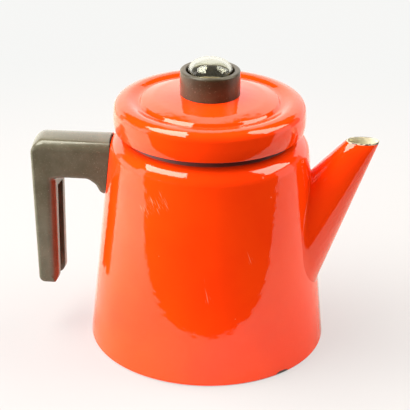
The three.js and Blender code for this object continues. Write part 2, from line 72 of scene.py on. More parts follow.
bpy.context.scene.view_settings.view_transform = "Standard"


# The room: white panels to the sides and behind, nothing bright in front or straight above,
# as the enamel mirrors it. What the lens and clear glass see of it is a plain pale backdrop.
class Wire:
    """A value that runs through a shader. Arithmetic adds Math nodes, and node() any other."""

    def __init__(self, tree, socket=None):
        self.tree = tree
        self.socket = socket

    def node(self, kind, settings=None, inputs=None, output=0):
        made = self.tree.nodes.new("ShaderNode" + kind)
        for name, value in (settings or {}).items():
            if name != "stops":
                setattr(made, name, value)
                continue
            ramp = made.color_ramp.elements
            while len(ramp) < len(value):
                ramp.new(1)
            for element, (position, colour) in zip(ramp, value):
                element.position = position
                element.color = (*colour, 1)
        for name, value in (inputs or {}).items():
            if isinstance(value, Wire):
                self.tree.links.new(value.socket, made.inputs[name])
            else:
                made.inputs[name].default_value = value
        return Wire(self.tree, made.outputs[output] if made.outputs else None)

    def maths(self, operation, *others):
        return self.node("Math", {"operation": operation}, dict(enumerate((self, *others))))

    def __add__(self, other):
        return self.maths("ADD", other)

    def __sub__(self, other):
        return self.maths("SUBTRACT", other)

    def __rsub__(self, other):
        return self.maths("MULTIPLY_ADD", -1, other)

    def __mul__(self, other):
        return self.maths("MULTIPLY", other)

    def __truediv__(self, other):
        return self.maths("DIVIDE", other)

    __radd__, __rmul__ = __add__, __mul__

    def ramp(self, low, high):
        """0 at low, 1 at high and smooth between them. Either may be the larger."""
        if not isinstance(low, Wire) and low > high:
            return 1 - self.ramp(high, low)
        inputs = {"Value": self, "From Min": low, "From Max": high}
        return self.node("MapRange", {"interpolation_type": "SMOOTHSTEP"}, inputs)

    def mix(self, first, second):
        """From the first colour to the second, as this value goes from 0 to 1."""
        return self.node("Mix", {"data_type": "RGBA"}, {0: self, 6: first, 7: second}, 2)


room = bpy.data.worlds.new("room")
room.use_nodes = True
room.node_tree.nodes.clear()
bpy.context.scene.world = room
wire = Wire(room.node_tree)
towards = wire.node("TexCoord", output="Generated")
front, right, up = (0.0698, -0.9976, 0), (0.9976, 0.0698, 0), (0, 0, 1)
ahead, aside, upward = (
    wire.node("VectorMath", {"operation": "DOT_PRODUCT"}, {0: towards, 1: way}, "Value")
    for way in (front, right, up)
)
to_degrees = 57.3
bearing = aside.maths("ARCTAN2", ahead) * to_degrees
height = upward.maths("ARCSINE") * to_degrees
off_front = bearing.maths("ABSOLUTE")

# Each panel fades out at its edges: bearings and heights are in degrees, from the front and
# from the horizon.
left_panel = bearing.ramp(-121.7, -120.3) * bearing.ramp(-75.8, -77.2) * height.ramp(20, 13)
left_strip = bearing.ramp(-90.7, -89.3) * bearing.ramp(-76.3, -77.7) * height.ramp(34, 28)
behind = off_front.ramp(128.5, 131) * (height - 29 * off_front.ramp(150, 180)).ramp(31, 25)
between = bearing.ramp(-129, -128) * bearing.ramp(-121, -122) * height.ramp(25, 15)
beyond_spout = bearing.ramp(105, 107) * bearing.ramp(131, 128) * height.ramp(22, 14)
sides = (2.1 * left_panel).maths("MAXIMUM", 2.4 * left_strip) + 0.5 * between + 0.35 * beyond_spout
mirrored = 0.02 + sides + behind * (1.75 - 0.4 * aside)
side_light = (bearing + 85).maths("ABSOLUTE").ramp(60, 28) * height.ramp(35, 3)
spread = (0.54 + 13 * side_light) * upward.ramp(-0.02, 0)
camera_ray = wire.node("LightPath", output="Is Camera Ray")
clear_ray = wire.node("LightPath", output="Is Transmission Ray")
glossy_ray = wire.node("LightPath", output="Is Glossy Ray")
panel_look = wire.node("Background", {}, {"Color": (1, 0.97, 0.92, 1), "Strength": mirrored})
room_light = wire.node("Background", {}, {"Color": (1, 0.98, 0.95, 1), "Strength": spread})
pale_grey = (0.925, 0.925, 0.91, 1)
backdrop = wire.node("Background", {}, {"Color": pale_grey, "Strength": 1})
lit = wire.node("MixShader", {}, {0: glossy_ray, 1: room_light, 2: panel_look})
seen_plain = camera_ray.maths("MAXIMUM", clear_ray)
surround = wire.node("MixShader", {}, {0: seen_plain, 1: lit, 2: backdrop})
wire.node("OutputWorld", {}, {"Surface": surround})


# The table: a sheet of white paper that ends not far in front of the pot and to its right, where a
# white card stands. In reflections it carries painted light, lighter towards the left.
def new_finish(name):
    """A new material and the start of its shader."""
    made = bpy.data.materials.new(name)
    made.use_nodes = True
    made.node_tree.nodes.clear()
    return made, Wire(made.node_tree)


paper, wire = new_finish("paper")
camera_ray = wire.node("LightPath", output="Is Camera Ray")
place = wire.node("TexCoord", output="Object")
distance = wire.node("VectorMath", {"operation": "LENGTH"}, {0: place}, "Value")
# Painted light: what the pot sees of the paper grows lighter towards the left, standing in for the
# brighter light falling there.
left = wire.node("SeparateXYZ", {}, {"Vector": place}).ramp(-0.1, -0.4)
shade = left.mix((0.46, 0.45, 0.43, 1), (0.74, 0.73, 0.68, 1))
matt = wire.node("BsdfDiffuse", {}, {"Color": shade})
seen_matt = wire.node("BsdfDiffuse", {}, {"Color": (0.18, 0.18, 0.195, 1)})
own_white = wire.node("Emission", {}, {"Color": (0.55, 0.52, 0.505, 1)})
far_white = wire.node("Emission", {}, {"Color": pale_grey})
near = wire.node("AddShader", {}, {0: seen_matt, 1: own_white})
seen = wire.node("MixShader", {}, {0: distance.ramp(0.2, 0.6), 1: near, 2: far_white})
sheet_look = wire.node("MixShader", {}, {0: camera_ray, 1: matt, 2: seen})
wire.node("OutputMaterial", {}, {"Surface": sheet_look})
card_reach, card_near, card_far, card_height = 0.65, -0.15, 0.16, 0.4
edge_of_paper = [
    (-2.5, 3), (-2.5, -0.3), (-0.523, -0.211), (-0.36, -0.168), (0.29, -0.168), (0.42, -0.178),
    (card_reach, card_near), (card_reach, 0.5), (1.283, 3),
]
camera_turn = Matrix.Rotation(math.radians(4), 3, "Z")


def stage_face(name, corners, finish, seen=True):
    """A flat sheet of the set, from its corners as the lens sees left and right."""
    shape = bmesh.new()
    shape.faces.new([shape.verts.new(corner) for corner in corners])
    bmesh.ops.rotate(shape, cent=(0, 0, 0), matrix=camera_turn, verts=shape.verts)
    sheet = bpy.data.objects.new(name, bpy.data.meshes.new(name))
    shape.to_mesh(sheet.data)
    shape.free()
    sheet.data.materials.append(finish)
    sheet.visible_camera = seen
    bpy.context.scene.collection.objects.link(sheet)
    sheet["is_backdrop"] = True


def glow(name, colour, strength):
    """A surface that gives off light."""
    made, wire = new_finish(name)
    light = wire.node("Emission", {}, {"Color": (*colour, 1), "Strength": strength})
    wire.node("OutputMaterial", {}, {"Surface": light})
    return made


stage_face("table", [(x, y, 0) for x, y in edge_of_paper], paper)
card_corners = [
    (card_reach, y, z)
    for y, z in ((card_near, 0), (card_far, 0), (card_far, card_height), (card_near, card_height))
]
stage_face("card", card_corners, glow("card_white", (1, 0.97, 0.9), 1.24), seen=False)

# Two soft lamps hang over the pot, one to the left and one to the right. Their corners are
# given as slopes away from straight up at the lid's rim, and they hang level.
lamp_rise, rim_height = 1.5, 0.17
left_slopes = [
    (-0.15, 0.56), (-0.2, 0.115), (-0.37, -0.44), (-0.52, -0.77), (-1.37, -0.17), (-0.73, 0.42),
]
right_slopes = [
    (1.77, -0.64), (2.08, 0.84), (0.88, 0.47), (0.29, 0.5), (0.37, 0.17), (0.615, -0.11),
]
for name, strength, slopes in (
    ("left_lamp", 10.9, left_slopes), ("right_lamp", 7.1, right_slopes),
):
    corners = [(x * lamp_rise, y * lamp_rise, lamp_rise + rim_height) for x, y in slopes]
    stage_face(name, corners, glow(name, (1, 1, 0.85), strength), seen=False)

# The wall of the pot: one drawn sheet of steel with a hemmed foot, a step under the lid and a
# neck that ends in a bead, enamelled orange-red outside and cream inside.
millimetre = 0.001


def taper(height):
    """Outer radius of the pot's cone at a height, in millimetres."""
    return 80 - 0.102 * height


def spin_line(shape, corners, finish=0, steps=192):
    """Rounds the corners of a line of (radius, height, rounding) and spins it about the axis."""
    line = [shape.verts.new((corner[0], 0, corner[1])) for corner in corners]
    for pair in zip(line, line[1:]):
        shape.edges.new(pair)
    for vert, corner in zip(line, corners):
        if corner[2:]:
            bmesh.ops.bevel(
                shape, geom=[vert], offset=corner[2], offset_type="OFFSET", segments=10,
                profile=0.5, affect="VERTICES", material=-1,
            )
    wires = [edge for edge in shape.edges if edge.is_wire]
    ends = dict.fromkeys(vert for edge in wires for vert in edge.verts)
    before = set(shape.faces)
    bmesh.ops.spin(
        shape, geom=[*ends, *wires], cent=(0, 0, 0), axis=(0, 0, 1),
        angle=2 * math.pi, steps=steps, use_merge=True,
    )
    for face in set(shape.faces) - before:
        face.material_index = finish


def mark_creases(shape, degrees=32):
    """Smooth faces that meet in a crease wherever the surface turns sharply."""
    for face in shape.faces:
        face.smooth = True
    for edge in shape.edges:
        edge.smooth = edge.calc_face_angle(0) < math.radians(degrees)


def finish_piece(shape, name, finishes, body, node):
    """Makes an object of a shape in millimetres, and puts it in place of a CAD node."""
    bmesh.ops.remove_doubles(shape, verts=shape.verts, dist=0.002)
    bmesh.ops.recalc_face_normals(shape, faces=shape.faces)
    bmesh.ops.scale(shape, vec=(millimetre,) * 3, verts=shape.verts)
    mark_creases(shape)
    piece = bpy.data.objects.new(name, bpy.data.meshes.new(name))
    shape.to_mesh(piece.data)
    shape.free()
    for finish in finishes:
        piece.data.materials.append(finish)
    bpy.context.scene.collection.objects.link(piece)
    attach(piece, body)
    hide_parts(node)
    return piece


def cut(piece, punches):
    """Cuts a shape in millimetres out of a piece, and keeps the result as its mesh."""
    bmesh.ops.scale(punches, vec=(millimetre,) * 3, verts=punches.verts)
    cutter = bpy.data.objects.new("cutter", bpy.data.meshes.new("cutter"))
    punches.to_mesh(cutter.data)
    punches.free()
    bpy.context.scene.collection.objects.link(cutter)
    modifier = piece.modifiers.new("cut", "BOOLEAN")
    modifier.operation = "DIFFERENCE"
    modifier.solver = "EXACT"
    modifier.object = cutter
    reached = piece.evaluated_get(bpy.context.evaluated_depsgraph_get())
    shape = bmesh.new()
    shape.from_mesh(reached.to_mesh())
    reached.to_mesh_clear()
    piece.modifiers.clear()
    bmesh.ops.remove_doubles(shape, verts=shape.verts, dist=1e-6)
    mark_creases(shape)
    shape.to_mesh(piece.data)
    shape.free()
    bpy.data.objects.remove(cutter)


def enamel(name, colour, deeper, wear_and_shade=None):
    """Vitreous enamel: glossy, faintly wavy, with fine scratches. An extra function can add wear
    and painted shade of its own.
    """
    made, wire = new_finish(name)
    place = wire.node("TexCoord", output="Object")
    cloud = wire.node("TexNoise", {}, {"Vector": place, "Scale": 22, "Detail": 3})
    tone = cloud.ramp(0.35, 0.68).mix((*colour, 1), (*deeper, 1))
    wave = wire.node("TexNoise", {}, {
        "Vector": place, "Scale": 240, "Detail": 1, "Roughness": 0.4,
    })
    broad = wire.node("TexNoise", {}, {"Vector": place, "Scale": 40, "Detail": 1})
    haze = wire.node("TexNoise", {}, {"Vector": place, "Scale": 300, "Detail": 4})
    rough = 0.028 + 0.05 * haze.ramp(0.45, 0.8)
    lift = wave * 2 + broad * 2
    if wear_and_shade:
        tone, rough, lift = wear_and_shade(wire, place, tone, rough, lift)
    bump = wire.node("Bump", {}, {"Strength": 0.5, "Distance": 0.00009, "Height": lift})
    wire.node("OutputMaterial", {}, {"Surface": wire.node("BsdfPrincipled", {}, {
        "Base Color": tone, "Roughness": rough, "Normal": bump, "IOR": 1.55,
    })})
    return made


orange = (0.97, 0.05, 0.002)
orange_deep = (0.94, 0.042, 0.002)
orange_wall = enamel("orange_wall", orange, orange_deep)


def pot_wear_and_shade(wire, place, tone, rough, lift):
    """Painted shade on the neck in the gap under the lid, scratches and specks on the wall, a
    chipped foot.
    """
    x, y, z = (wire.node("SeparateXYZ", {}, {"Vector": place}, axis) for axis in "XYZ")
    radius = (x * x + y * y).maths("SQRT")
    girth = 0.072
    across = x.maths("ARCTAN2", y * -1) * girth
    grain = wire.node("TexNoise", {}, {"Vector": place, "Scale": 700, "Detail": 3})
    # Painted shade: the neck in the gap under the lid's hem is darkened nearly to black and made
    # rougher, standing in for the shadow there.
    corner = z.ramp(0.145, 0.1459) * (z + 0.002 * grain).ramp(0.1525, 0.1505)
    shade_under_lid = (radius + 0.002 * grain).ramp(0.0592, 0.0572) * corner
    tone = (0.93 * shade_under_lid).mix(tone, (0.03, 0.006, 0.003, 1))
    scratched = 0
    for turn, centre_height, slant, length, width, pitch in (
        (-24, 0.122, 1.0, 0.008, 0.009, 1500), (4, 0.064, 1.35, 0.013, 0.003, 1100),
        (-31, 0.116, 0.9, 0.006, 0.006, 1500), (26, 0.088, 1.25, 0.008, 0.003, 1200),
    ):
        side, rise = across - math.radians(turn) * girth, z - centre_height
        along = side * math.cos(slant) - rise * math.sin(slant)
        beside = side * math.sin(slant) + rise * math.cos(slant)
        drawn_out = wire.node("CombineXYZ", {}, {"X": along * 0.06, "Y": beside})
        strokes = wire.node("TexNoise", {}, {"Vector": drawn_out, "Scale": pitch, "Detail": 1})
        patch = along.maths("ABSOLUTE").ramp(length, 0.4 * length)
        patch = patch * beside.maths("ABSOLUTE").ramp(width, 0.4 * width)
        scratched = scratched + strokes.ramp(0.58, 0.66) * patch
    for turn, centre_height, size in (
        (35.5, 0.139, 0.0009), (40, 0.125, 0.0007), (18, 0.047, 0.0005), (-22, 0.087, 0.0004),
    ):
        side, rise = across - math.radians(turn) * girth, z - centre_height
        scratched = scratched + (side * side + rise * rise).maths("SQRT").ramp(size, 0.4 * size)
    tone = (0.3 * scratched).mix(tone, (0.95, 0.5, 0.32, 1))
    side = across - math.radians(43) * girth
    chip_edge = (side * side * 0.25 + z * z).maths("SQRT") + 0.0012 * grain
    chip = chip_edge.ramp(0.0034, 0.0029)
    worn_foot = (z + 0.0009 * grain).ramp(0.0016, 0.001)
    worn_foot = worn_foot * across.ramp(0.027, 0.033) * across.ramp(0.06, 0.054)
    bare = chip.maths("MAXIMUM", worn_foot)
    tone = bare.mix(tone, (0.045, 0.03, 0.026, 1))
    rough = rough + 0.35 * bare + 0.5 * shade_under_lid + 0.12 * scratched.maths("MINIMUM", 1)
    return tone, rough, lift - 4 * chip


orange_pot = enamel("orange_pot", orange, orange_deep, pot_wear_and_shade)
cream = enamel("cream", (0.9, 0.86, 0.68), (0.84, 0.79, 0.6))

outside, inside, lip = range(3)
wall_sheet = 1.2
shoulder = (taper(135.4) - 0.92, 144.45, 9.1)
hollow = (54.9, 145.36, 1.3)
bead_reach, bead_height, bead_radius = 53.9, 166.8, 1.3


def rolled_edge(reach, height, radius, turns):
    """Points round a rolled edge, at these turns in degrees."""
    return [
        (reach + radius * math.cos(math.radians(a)), height + radius * math.sin(math.radians(a)))
        for a in turns
    ]


bead = rolled_edge(bead_reach, bead_height, bead_radius, range(-60, 241, 20))
shape = bmesh.new()
spin_line(shape, [
    (taper(0.5) - wall_sheet, 0.5), (taper(0.5), 0.5, 0.8), shoulder, hollow, *bead,
])
spin_line(shape, [
    bead[-1], (hollow[0] - wall_sheet, hollow[1] - wall_sheet, 2.4),
    (shoulder[0] - wall_sheet, shoulder[1] - wall_sheet, 8), (taper(0.5) - wall_sheet, 0.5),
], finish=inside)
pot_wall = finish_piece(shape, "pot_wall", [orange_pot, cream], "pot", "pot_body")

# Strainer holes are punched in the wall where the spout leaves it, in staggered rows. They keep
# the grounds out of the cup.
strainer_pitch, strainer_radius, lowest_row = 10, 3.25, 53.35
punches = bmesh.new()
for row, count in enumerate((2, 3, 4, 3, 2)):
    for column in range(count):
        height = lowest_row + strainer_pitch * row
        aside = strainer_pitch * (column - (count - 1) / 2)
        bmesh.ops.create_cone(
            punches, cap_ends=True, segments=20, radius1=strainer_radius,
            radius2=strainer_radius, depth=30,
            matrix=Matrix.Translation((taper(height), aside, height))
            @ Matrix.Rotation(math.radians(90), 4, "Y"),
        )
cut(pot_wall, punches)

# The base is a flat pan of the same sheet, enamelled and pressed into the foot of the wall.
# Its seam shows as a thin dark line.
pan_inset, pan_sheet, pan_depth = 1.5, 1.2, 9
shape = bmesh.new()
spin_line(shape, [
    (0, 0), (taper(0) - pan_inset, 0, 3), (taper(pan_depth) - pan_inset, pan_depth),
    (taper(pan_depth) - pan_inset - pan_sheet, pan_depth),
    (taper(pan_sheet) - pan_inset - pan_sheet, pan_sheet, 1.8), (0, pan_sheet),
], steps=160)
finish_piece(shape, "base_pan", [orange_wall], "pot", "base_plate")

# The spout is a straight-sided funnel of sheet steel, welded to the wall and enamelled with
# it. It is wide at its foot and pinched at its level mouth, where the cut edge is worn.
spout_points = 72
foot_top, foot_bottom, foot_half_width = 121, 45.7, 27.4
mouth_height, mouth_length, mouth_half_width = 145, 21.7, 6.75
mouth_reach = taper(mouth_height) + 24.8
foot_oval = (
    Vector((taper(foot_top), 0, foot_top)),
    Vector((taper(foot_bottom), 0, foot_bottom)),
    Vector((0, foot_half_width, 0)),
)
mouth_oval = (
    Vector((mouth_reach, 0, mouth_height)),
    Vector((mouth_reach + mouth_length, 0, mouth_height)),
    Vector((0, mouth_half_width, 0)),
)


def oval_point(oval, turn, inset=0):
    """A point of an oval that is given by its top, its bottom and its half width."""
    top, bottom, aside = oval
    reach = (bottom - top) / 2
    reach, aside = (axis * (1 - inset / axis.length) for axis in (reach, aside))
    return (top + bottom) / 2 + reach * math.cos(turn) + aside * math.sin(turn)


@functools.cache
def mouth_turn(turn):
    """Where a bend of the flat sheet that starts at this turn of the foot meets the mouth."""
    if turn < 0:
        return -mouth_turn(-turn)
    foot, step = oval_point(foot_oval, turn), 0.001
    along_foot = oval_point(foot_oval, turn + step) - foot
    low, high = 0, math.pi
    for attempt in range(40):
        middle = (low + high) / 2
        mouth = oval_point(mouth_oval, middle)
        along_mouth = oval_point(mouth_oval, middle + step) - mouth
        if (mouth - foot).dot(along_foot.cross(along_mouth)) < 0:
            low = middle
        else:
            high = middle
    return low


def spout_point(turn, share, inset=0):
    """A point of the funnel, from the wall at share 0 to the mouth at share 1."""
    foot = oval_point(foot_oval, turn, inset)
    return foot.lerp(oval_point(mouth_oval, mouth_turn(turn), inset), share)


def share_on_wall(turn, inset, gap):
    """The share at which a line of the funnel stands a gap away from the wall."""
    low, high = -0.4, 1
    for attempt in range(40):
        middle = (low + high) / 2
        point = spout_point(turn, middle, inset)
        if math.hypot(point.x, point.y) > taper(point.z) + gap:
            high = middle
        else:
            low = middle
    return high


def wall_point(turn, outward, gap):
    """A point on the wall beside the foot of the spout, moved away from the joint."""
    foot = spout_point(turn, share_on_wall(turn, 0, 0))
    away = foot - spout_point(turn + math.pi, share_on_wall(turn + math.pi, 0, 0))
    away = away.normalized() * outward
    height = foot.z + away.z
    angle = math.atan2(foot.y, foot.x) + away.y / taper(height)
    radius = taper(height) + gap
    return Vector((radius * math.cos(angle), radius * math.sin(angle), height))


shape = bmesh.new()
rings = []
spout_sheet = 1.2
for place, finish in (
    (lambda turn: wall_point(turn, 2.2, -0.25), outside),
    (lambda turn: wall_point(turn, 1.2, 0.1), outside),
    (lambda turn: wall_point(turn, 0.45, 0.45), outside),
    (lambda turn: spout_point(turn, share_on_wall(turn, 0, 1.1)), outside),
    (lambda turn: spout_point(turn, share_on_wall(turn, 0, 2.4)), outside),
    (lambda turn: spout_point(turn, 0.5), outside),
    (lambda turn: spout_point(turn, 0.8), outside),
    (lambda turn: spout_point(turn, 0.985), outside),
    (lambda turn: spout_point(turn, 1, 0.25), lip),
    (lambda turn: spout_point(turn, 1, 0.95), lip),
    (lambda turn: spout_point(turn, 0.985, spout_sheet), inside),
    (lambda turn: spout_point(turn, 0.6, spout_sheet), inside),
    (lambda turn: spout_point(turn, share_on_wall(turn, spout_sheet, -0.6), spout_sheet), inside),
):
    made = bmesh.ops.create_circle(shape, cap_ends=False, radius=1, segments=spout_points)
    for vert in made["verts"]:
        vert.co = place(math.atan2(vert.co.y, vert.co.x))
    ring = list(dict.fromkeys(edge for vert in made["verts"] for edge in vert.link_edges))
    if rings:
        faces = bmesh.ops.bridge_loops(shape, edges=rings[-1] + ring)["faces"]
        for face in faces:
            face.material_index = finish
    rings.append(ring)
bmesh.ops.bridge_loops(shape, edges=rings[-1] + rings[0])
worn_lip, wire = new_finish("worn_lip")
place = wire.node("TexCoord", output="Object")
chips = wire.node("TexNoise", {}, {"Vector": place, "Scale": 420, "Detail": 3})
tone = chips.ramp(0.42, 0.55).mix((0.05, 0.035, 0.028, 1), (0.5, 0.42, 0.3, 1))
wire.node("OutputMaterial", {}, {"Surface": wire.node("BsdfPrincipled", {}, {
    "Base Color": tone, "Roughness": chips.ramp(0.3, 0.7) * 0.3 + 0.3,
})})
finish_piece(shape, "spout_funnel", [orange_wall, cream, worn_lip], "pot", "spout")

# The grip is one dark phenolic moulding: an arm that runs out from the wall and turns down
# into a leg, with a channel in its back. The arm's top is crowned, and the leg's edges are
# rounded most towards the pot.
arm_level, arm_length, arm_half_width = 138, 52.3, 14
grip_top, arm_under, heel, leg_end = 140.8, 114.5, 104.4, 35.4
leg_top_depth, leg_foot_depth, leg_width, leg_slant = 19.8, 16.6, 26, 4.2
edge_radius, more_on_top, more_by_the_pot = 2.5, 1.5, 2.7
grip_reach = taper(arm_level) + arm_length
foot_reach = grip_reach - 3.2
shape = bmesh.new()
outline = [
    (-40, grip_top, 0), (-60, grip_top, 0), (-grip_reach, grip_top, 9),
    (-foot_reach, leg_end, 4), (-foot_reach + leg_foot_depth, leg_end, 6),
    (-grip_reach + leg_top_depth, arm_under, 3), (-taper(heel) - 10.2, arm_under, 2),
    (-taper(heel) - 5, 110.5, 1), (-taper(heel) - 2.5, 105.6, 1), (-taper(heel), heel, 0),
    (-60, heel, 0), (-40, heel, 0),
]
corners = [shape.verts.new((x, 0, z)) for x, z, rounding in outline]
shape.faces.new(corners)
for vert, (x, z, rounding) in zip(corners, outline):
    if rounding:
        bmesh.ops.bevel(
            shape, geom=[vert], offset=rounding, offset_type="OFFSET", segments=8,
            profile=0.5, affect="VERTICES", material=-1,
        )
shape.faces.ensure_lookup_table()
side_line = [vert.co.copy() for vert in shape.faces[0].verts]
shape.free()


def grip_point(index, rounding, lateral):
    """A point of the side outline, drawn in and moved sideways where an edge is rounded."""
    before, here, after = (side_line[(index + step) % len(side_line)] for step in (-1, 0, 1))
    along = (after - before).normalized()
    outward = Vector((along.z, 0, -along.x)) * outline_turn
    up = max(outward.z, 0)
    by_the_pot = here.x < -90 and outward.x > 0
    radius = edge_radius + more_on_top * up ** 2
    if by_the_pot:
        radius += more_by_the_pot * outward.x ** 2
    point = here - outward * radius * (1 - math.sin(rounding))
    share = min(max((-point.x - taper(arm_level)) / arm_length, 0), 1)
    point.y = lateral * (arm_half_width - share - radius * (1 - math.cos(rounding)))
    if by_the_pot:
        point.x -= leg_slant * outward.x * (0.5 - point.y / leg_width)
    off_middle = point.y / (leg_width / 2)
    point -= outward * up * (1.2 * off_middle ** 2 + 1.5 * off_middle ** 4)
    return point


area = sum(a.x * b.z - b.x * a.z for a, b in zip(side_line, side_line[1:] + side_line[:1]))
outline_turn = 1 if area > 0 else -1
shape = bmesh.new()
rings = []
quarter = [math.radians(turn) for turn in range(0, 91, 10)]
crown = [(step / 8, quarter[-1]) for step in range(-7, 8)]
near_edge = [(-1, turn) for turn in quarter]
far_edge = [(1, turn) for turn in reversed(quarter)]
for lateral, rounding in near_edge + crown + far_edge:
    made = bmesh.ops.create_circle(shape, cap_ends=False, radius=1, segments=len(side_line))
    for vert in made["verts"]:
        turned = math.atan2(vert.co.y, vert.co.x) / (2 * math.pi)
        index = math.floor(turned * len(side_line) + 0.25)
        vert.co = grip_point(index, rounding, lateral)
    ring = list(dict.fromkeys(edge for vert in made["verts"] for edge in vert.link_edges))
    if rings:
        bmesh.ops.bridge_loops(shape, edges=rings[-1] + ring)
    rings.append(ring)
for ring in (rings[0], rings[-1]):
    bmesh.ops.contextual_create(shape, geom=ring)


def phenolic(name, colour, worn, sheen):
    """Moulded phenolic, satin from years of hands, with worn patches and fine pale specks."""
    made, wire = new_finish(name)
    place = wire.node("TexCoord", output="Object")
    cloud = wire.node("TexNoise", {}, {
        "Vector": place, "Scale": 60, "Detail": 6, "Roughness": 0.65,
    })
    grain = wire.node("TexNoise", {}, {"Vector": place, "Scale": 900, "Detail": 2})
    dust = wire.node("TexNoise", {}, {"Vector": place, "Scale": 1500, "Detail": 0})
    specks = dust.ramp(0.74, 0.8)
    tone = (cloud.ramp(0.35, 0.7) * 0.8 + grain * 0.2).mix((*colour, 1), (*worn, 1))
    tone = (0.25 * specks).mix(tone, (0.4, 0.36, 0.26, 1))
    bump = wire.node("Bump", {}, {
        "Strength": 0.4, "Distance": 0.00006, "Height": grain + cloud * 2,
    })
    wire.node("OutputMaterial", {}, {"Surface": wire.node("BsdfPrincipled", {}, {
        "Base Color": tone, "Roughness": sheen + 0.1 * cloud.ramp(0.3, 0.75), "Normal": bump,
    })})
    return made


grip_phenolic = phenolic("grip_phenolic", (0.075, 0.067, 0.045), (0.112, 0.1, 0.072), 0.12)
grip = finish_piece(shape, "grip", [grip_phenolic], "pot", "handle_grip")
leg_back = 6
channel = Vector((30, 9.8, 92))
punches = bmesh.new()
bmesh.ops.create_cube(punches, size=1, matrix=Matrix.LocRotScale(
    Vector((-grip_reach + leg_back + channel.x / 2, 0, 60)), None, channel))
cut(grip, punches)


def spun_punch(corners, steps):
    """A closed punch, spun from a line of (radius, height)."""
    punches = bmesh.new()
    spin_line(punches, corners, steps=steps)
    bmesh.ops.remove_doubles(punches, verts=punches.verts, dist=0.001)
    bmesh.ops.recalc_face_normals(punches, faces=punches.faces)
    return punches


wall_gap = 0.3
cut(grip, spun_punch([
    (0, -5), (taper(-5) + wall_gap, -5), (taper(150) + wall_gap, 150), (0, 150),
], steps=96))

# The lid is pressed from sheet steel and enamelled like the pot: a deep side, a rounded rim,
# a groove and a low dome, with a small step in the middle for the knob.
shape = bmesh.new()
spin_line(shape, [
    (61.6, 151.5), (62.5, 151.3, 0.3), (63.3, 155.9, 3), (62.6, 167.4, 2.7),
    (57.6, 170.35, 2.9), (53.3, 170.35, 1.6), (48.2, 168.3, 1.2), (46.3, 168.35, 0.4),
    (44.6, 170.15, 0.5), (37, 172.1, 1.5), (19.5, 174.05), (19.5, 175.5), (13, 175.5),
])
spin_line(shape, [
    (13, 175.5), (13, 174.3), (18.4, 174.3), (21.4, 172.8, 1), (37.6, 170.85, 1.5),
    (44.3, 168.65, 0.6), (47.1, 167.2, 0.6), (48.7, 167.2, 1.2), (53.5, 169.15, 1.5),
    (57.3, 169.15, 2.4), (61.35, 166.8, 2), (62, 155.9, 3), (61.6, 151.5),
], finish=inside)
finish_piece(shape, "lid", [orange_wall, cream], "lid", "lid_shell")

# The knob's dark ring is moulded of phenolic. Its foot fits over the step of the lid, and its
# threaded neck passes down through it.
shape = bmesh.new()
spin_line(shape, [
    (9.8, 166.5), (12.7, 166.5, 0.4), (12.7, 175.8), (19.5, 175.8), (19.5, 174.2),
    (19.7, 174.2), (19.7, 190.4, 1.4), (15.8, 190.4, 0.7), (15.8, 179.6, 0.3),
    (9.8, 179.6, 0.4), (9.8, 166.5),
], steps=128)
knob_phenolic = phenolic("knob_phenolic", (0.03, 0.021, 0.01), (0.06, 0.043, 0.022), 0.3)
finish_piece(shape, "knob_collar", [knob_phenolic], "lid", "knob_ring")

# The glass dome is pressed, thick and open below, and stands on its seal inside the ring.
# The coffee can be seen in it as it spurts.
glass_foot, glass_shoulder, fullness = 181.2, 187.1, 0.82
glass_radius, glass_rise = 15.2, 10.5
hollow_radius, hollow_rise = 12.6, 8


def glass_line(radius, rise):
    """Points of a dome from its top to its shoulder, a little fuller than an ellipse."""
    turns = [math.radians(turn) for turn in range(0, 91, 6)]
    return [
        (
            radius * math.sin(turn) ** fullness,
            glass_shoulder + rise * max(math.cos(turn), 0) ** fullness,
        )
        for turn in turns
    ]


shape = bmesh.new()
spin_line(shape, [
    *glass_line(glass_radius, glass_rise), (glass_radius, glass_foot, 0.4),
    (hollow_radius, glass_foot, 0.4), *reversed(glass_line(hollow_radius, hollow_rise)),
], steps=96)
clear_glass, wire = new_finish("clear_glass")
wire.node("OutputMaterial", {}, {"Surface": wire.node("BsdfPrincipled", {}, {
    "Base Color": (0.93, 0.92, 0.8, 1), "Roughness": 0.05, "Transmission Weight": 1.0, "IOR": 1.5,
})})
finish_piece(shape, "glass_dome", [clear_glass], "lid", "knob_glass")

# A flat washer of pale silicone lies under the glass and keeps the steam in. It is cut from
# sheet, and coffee has stained it.
silicone, wire = new_finish("silicone")
place = wire.node("TexCoord", output="Object")
stain = wire.node("TexNoise", {}, {"Vector": place, "Scale": 160, "Detail": 3})
wire.node("OutputMaterial", {}, {"Surface": wire.node("BsdfPrincipled", {}, {
    "Base Color": stain.ramp(0.3, 0.7).mix((0.5, 0.42, 0.3, 1), (0.36, 0.28, 0.18, 1)),
    "Roughness": 0.5 + 0.15 * stain,
})})
shape = bmesh.new()
spin_line(shape, [
    (10.6, 179.9, 0.2), (15.2, 179.9, 0.2), (15.2, 180.9, 0.2), (10.6, 180.9, 0.2),
    (10.6, 180.4), (10.6, 179.9),
], steps=96)
finish_piece(shape, "glass_seal", [silicone], "lid", "knob_seal")


